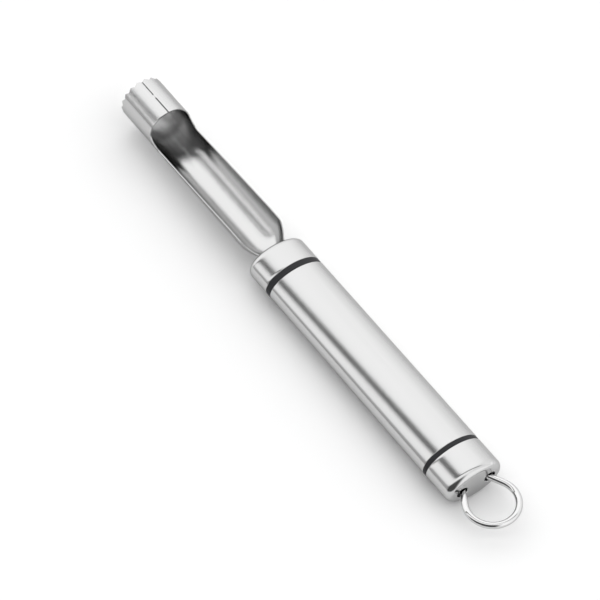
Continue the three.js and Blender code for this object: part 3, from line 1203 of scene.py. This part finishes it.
    def hole_solid(self, side: Side) -> Piece:
        """Makes the solid that cuts one of the ring's holes, with a chamfer at the face of the rear cap.

        Args:
            side: Side of the handle that the hole is on.

        Returns:
            A round pin that widens at the face.
        """
        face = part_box("rear_cap")[1].x
        radius = self.hole_diameter / 2
        margin = self.hole_chamfer
        profile = [
            (face - self.cutter_reach, radius),
            (face - margin, radius),
            (face + margin, radius + 2 * margin),
        ]
        turns = full_turn(self.hole_sides)
        middle = side.value * self.hole_spacing / 2
        sections = []
        for x, r in profile:
            circle = [(middle + r * math.cos(t), self.axis + r * math.sin(t)) for t in turns]
            sections.append([Vector((x, y, z)) for y, z in circle])
        return loft("hole_solid", sections)


@dataclass
class HangingRing(Assembly):
    """The bent wire: two hooks behind the rear cap's wall, two legs and the loop."""

    handle: Handle
    wire: float = 2.6 * MM
    loop_radius: float = 9.8 * MM
    loop_reach: float = 9.4 * MM
    hook_length: float = 3.7 * MM
    hook_bend: float = 1.5 * MM
    tip_round: float = 0.4 * MM
    sides: int = 32
    bend_steps: int = 14
    half_loop_steps: int = 75
    leg_steps: int = 6
    tip_steps: int = 4
    face: float = field(init=False)
    hook_line: float = field(init=False)
    height: float = field(init=False)

    def __post_init__(self) -> None:
        """Reads the ring's place from the frame and its hinge line from the joint."""
        hinge = next(joint for joint in frame["joints"] if joint["child"] == Body.RING.value)
        self.hook_line, _, self.height = hinge["pos_m"]
        self.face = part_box("rear_cap")[1].x

    def build(self) -> None:
        """Sweeps the wire along its path and dresses it."""
        path = self.path()
        sections = []
        last = len(path) - 1
        for i, place in enumerate(path):
            ahead = (path[min(i + 1, last)] - path[max(i - 1, 0)]).normalized()
            if i == 0:
                sections += self.tip(place, -ahead)
            sections.append(self.section(place, ahead, self.wire / 2))
            if i == last:
                sections += reversed(self.tip(place, ahead))
        piece = loft("ring_wire", sections)
        shade(piece)
        self.dress(piece, "hanging_ring", Body.RING, WIRE_STEEL)

    def section(self, place: Vector, ahead: Vector, radius: float) -> list[Vector]:
        """Lists the points of the wire's round section.

        Args:
            place: Middle of the section.
            ahead: Direction of the wire, either way along it.
            radius: Radius of the section.

        Returns:
            Points round the section, which start on the same side of the wire for both ways along it.
        """
        across = Vector((-ahead.y, ahead.x, 0.0))
        turns = full_turn(self.sides)
        return [place + radius * (math.cos(t) * across + math.sin(t) * UP) for t in turns]

    def tip(self, place: Vector, outward: Vector) -> list[list[Vector]]:
        """Lists the sections of a rounded wire end, from its tip inward.

        Args:
            place: Place where the rounding starts.
            outward: Direction out of the end.

        Returns:
            Sections of the rounding.
        """
        sections = []
        along = outward if place.y < 0 else -outward
        for turn in spaced(0.0, QUARTER_TURN, self.tip_steps)[:-1]:
            reach = self.tip_round * (math.cos(turn) - 1)
            radius = self.wire / 2 - self.tip_round * (1 - math.sin(turn))
            sections.append(self.section(place + outward * (reach + self.tip_round), along, radius))
        return sections

    @staticmethod
    def arc(centre: Vector, radius: float, start: float, stop: float, steps: int) -> list[Vector]:
        """Lists points along an arc in the plane of the ring.

        Args:
            centre: Middle of the arc.
            radius: Radius of the arc.
            start: Angle where it starts.
            stop: Angle where it stops.
            steps: Number of steps along it.

        Returns:
            Points of the arc, both ends included.
        """
        turns = spaced(start, stop, steps)
        return [centre + radius * Vector((math.cos(turn), math.sin(turn), 0.0)) for turn in turns]

    def path(self) -> list[Vector]:
        """Lists the wire's centre line from one hook tip to the other.

        Returns:
            Points of the centre line.
        """
        hole = self.handle.hole_spacing / 2
        reach = self.loop_reach
        splay = math.asin(self.loop_radius / math.hypot(reach, hole)) - math.atan2(hole, reach)
        foot = hole - (self.face - self.hook_line) * math.tan(splay)
        bend_reach = self.hook_bend * math.tan((QUARTER_TURN + splay) / 2)
        bend_centre = Vector((self.hook_line + self.hook_bend, foot + bend_reach, self.height))
        straight = self.hook_length - self.hook_bend - self.tip_round
        tip = Vector((self.hook_line, foot + bend_reach + straight, self.height))
        bend_stop = math.pi + QUARTER_TURN + splay
        bend = self.arc(bend_centre, self.hook_bend, math.pi, bend_stop, self.bend_steps)
        loop_centre = Vector((self.face + reach, 0.0, self.height))
        loop = self.arc(loop_centre, self.loop_radius, QUARTER_TURN + splay, 0.0, self.half_loop_steps)
        leg = [bend[-1].lerp(loop[0], share) for share in spaced(0.0, 1.0, self.leg_steps)[1:-1]]
        half = [tip, *bend, *leg, *loop]
        mirrored = [Vector((p.x, -p.y, p.z)) for p in reversed(half[:-1])]
        return half + mirrored


@dataclass
class InnerWorks(Assembly):
    """The pieces inside the handle, which keep their solids."""

    finishes: Mapping[str, Finish] = field(
        default_factory=lambda: {
            "front_plug": GREY_PLASTIC,
            "rear_plug": GREY_PLASTIC,
            "tie_rod": ZINC_STEEL,
            "tang_rivet_front": ZINC_STEEL,
            "tang_rivet_rear": ZINC_STEEL,
            "tie_washer": ZINC_STEEL,
            "tie_nut": ZINC_STEEL,
        }
    )

    def build(self) -> None:
        """Gives each inner piece its finish."""
        for node, finish in self.finishes.items():
            self.coat(frame["nodes"][node], finish)
            LOG.info("%s keeps its solid in %s", node, finish.slot.value)


# Studio


@dataclass
class Studio:
    """Pale floor, light from the world and the camera.

    The light goes by its pitch, which is 0 straight above, positive on the camera's side and negative
    on the far side, and by how far to the camera's right it comes from, between -1 and 1. light_levels
    gives its strength by pitch in degrees. Each other pair says where a change starts and where it is
    complete. The camera's lens is in millimetres.
    """

    floor_radius: float = 3.0
    floor_drop: float = 0.05 * MM
    floor_sides: int = 96
    floor_colour: Colour = (0.96, 0.96, 0.96)
    camera_place: Triple = (582.9 * MM, -410.3 * MM, 945.4 * MM)
    camera_aim: Triple = (-5.18 * MM, -4.19 * MM, 7.95 * MM)
    camera_roll: float = math.radians(-0.31)
    camera_lens: float = 187.1
    light_levels: tuple[Pair, ...] = (
        (-180, 0.6),
        (-100, 1.15),
        (-88, 1.28),
        (-70, 1.46),
        (-45, 1.56),
        (-30, 1.6),
        (0, 1.5),
        (14, 1.45),
        (32, 0.0),
        (180, 0.0),
    )
    gap_start: Pair = (math.radians(-17), math.radians(-14.5))
    gap_stop: Pair = (math.radians(-8.5), math.radians(-6))
    gap_level: float = 0.05
    gap_end: Pair = (0.5, 0.8)
    left_end: Pair = (-1.0, -0.95)
    left_level: float = 0.4
    right_end: Pair = (0.25, 0.5)
    right_level: float = 0.85
    camera_side: Pair = (math.radians(14), math.radians(32))
    camera_level: float = 0.1
    left_fill: Pair = (-0.97, -0.9)
    left_fill_level: float = 0.45
    right_fill: Pair = (0.1, 0.5)
    right_fill_level: float = 1.4

    def build(self) -> None:
        """Sets the floor, the light and the camera."""
        self.lay_floor()
        self.light()
        self.set_camera()
        bpy.context.scene.view_settings.view_transform = "Standard"

    def lay_floor(self) -> None:
        """Lays a round pale floor just under the corer."""
        draft = Draft()
        turns = full_turn(self.floor_sides)
        radius = self.floor_radius
        rim = [Vector((radius * math.cos(t), radius * math.sin(t), -self.floor_drop)) for t in turns]
        draft.faces.append(tuple(draft.row(rim)))
        floor = draft.to_object("floor")
        material = bpy.data.materials.new("pale_floor")
        material.use_nodes = True
        graph = Graph(material.node_tree)
        shader = graph.node("ShaderNodeBsdfDiffuse", {}, {"Color": opaque(self.floor_colour)})
        graph.node("ShaderNodeOutputMaterial", {}, {"Surface": shader.outputs[0]})
        floor.data.materials.append(material)

    def light(self) -> None:
        """Lights the scene from the world, with two softboxes and fills beside the camera."""
        world = bpy.data.worlds.new("studio")
        world.use_nodes = True
        bpy.context.scene.world = world
        graph = Graph(world.node_tree)
        x, y, z = graph.axes(graph.socket("ShaderNodeTexCoord", {}, {}, "Generated"))
        toward = (Vector(self.camera_place) - Vector(self.camera_aim)).xy.normalized()
        near = x * toward.x + y * toward.y
        right = y * toward.x - x * toward.y
        pitch = graph.calculate("ARCTAN2", near, z)
        strength = self.softboxes(graph, pitch, right) + self.fills(pitch, right)
        inputs = {"Color": opaque(WHITE), "Strength": strength}
        shader = graph.node("ShaderNodeBackground", {}, inputs)
        graph.node("ShaderNodeOutputWorld", {}, {"Surface": shader.outputs[0]})

    def softboxes(self, graph: Graph, pitch: Value, right: Value) -> Value:
        """Builds the far and the near softbox, with a dark gap between them.

        Args:
            graph: Graph of the world.
            pitch: Pitch of the light.
            right: How far to the camera's right it comes from.

        Returns:
            Strength of the softboxes.
        """
        stops = []
        for degrees, level in self.light_levels:
            stops.append((RAMP_MIDDLE + math.radians(degrees) / math.tau, shaded(WHITE, level)))
        place = pitch / math.tau + RAMP_MIDDLE
        boxes = graph.value("ShaderNodeValToRGB", {"stops": stops}, {0: place})
        gap = pitch.smooth(*self.gap_start) * (1.0 - pitch.smooth(*self.gap_stop))
        for dimmed, level in (
            (gap * (1.0 - right.smooth(*self.gap_end)), self.gap_level),
            (1.0 - right.smooth(*self.left_end), self.left_level),
            (right.smooth(*self.right_end), self.right_level),
        ):
            boxes = boxes * (1.0 - dimmed * (1 - level))
        return boxes

    def fills(self, pitch: Value, right: Value) -> Value:
        """Builds the weak light on the camera's side, which is stronger at its left and right ends.

        Args:
            pitch: Pitch of the light.
            right: How far to the camera's right it comes from.

        Returns:
            Strength of the fills.
        """
        left_end = (1.0 - right.smooth(*self.left_fill)) * self.left_fill_level
        right_end = right.smooth(*self.right_fill) * self.right_fill_level
        return pitch.smooth(*self.camera_side) * (left_end + right_end + self.camera_level)

    def set_camera(self) -> None:
        """Places the camera at the photograph's viewpoint."""
        data = bpy.data.cameras.new("photo_camera")
        data.lens = self.camera_lens
        camera = bpy.data.objects.new("photo_camera", data)
        bpy.context.scene.collection.objects.link(camera)
        place, aim = Vector(self.camera_place), Vector(self.camera_aim)
        camera.location = place
        camera.rotation_mode = "QUATERNION"
        level = (aim - place).to_track_quat("-Z", "Y")
        camera.rotation_quaternion = level @ Quaternion(UP, self.camera_roll)
        bpy.context.scene.camera = camera


def main() -> None:
    """Builds the corer and the studio."""
    logging.basicConfig(level=logging.INFO, format="%(message)s")
    blade = Blade()
    handle = Handle(blade)
    for assembly in (blade, handle, HangingRing(handle), InnerWorks()):
        assembly.build()
    Studio().build()


if __name__ == "__main__":
    main()
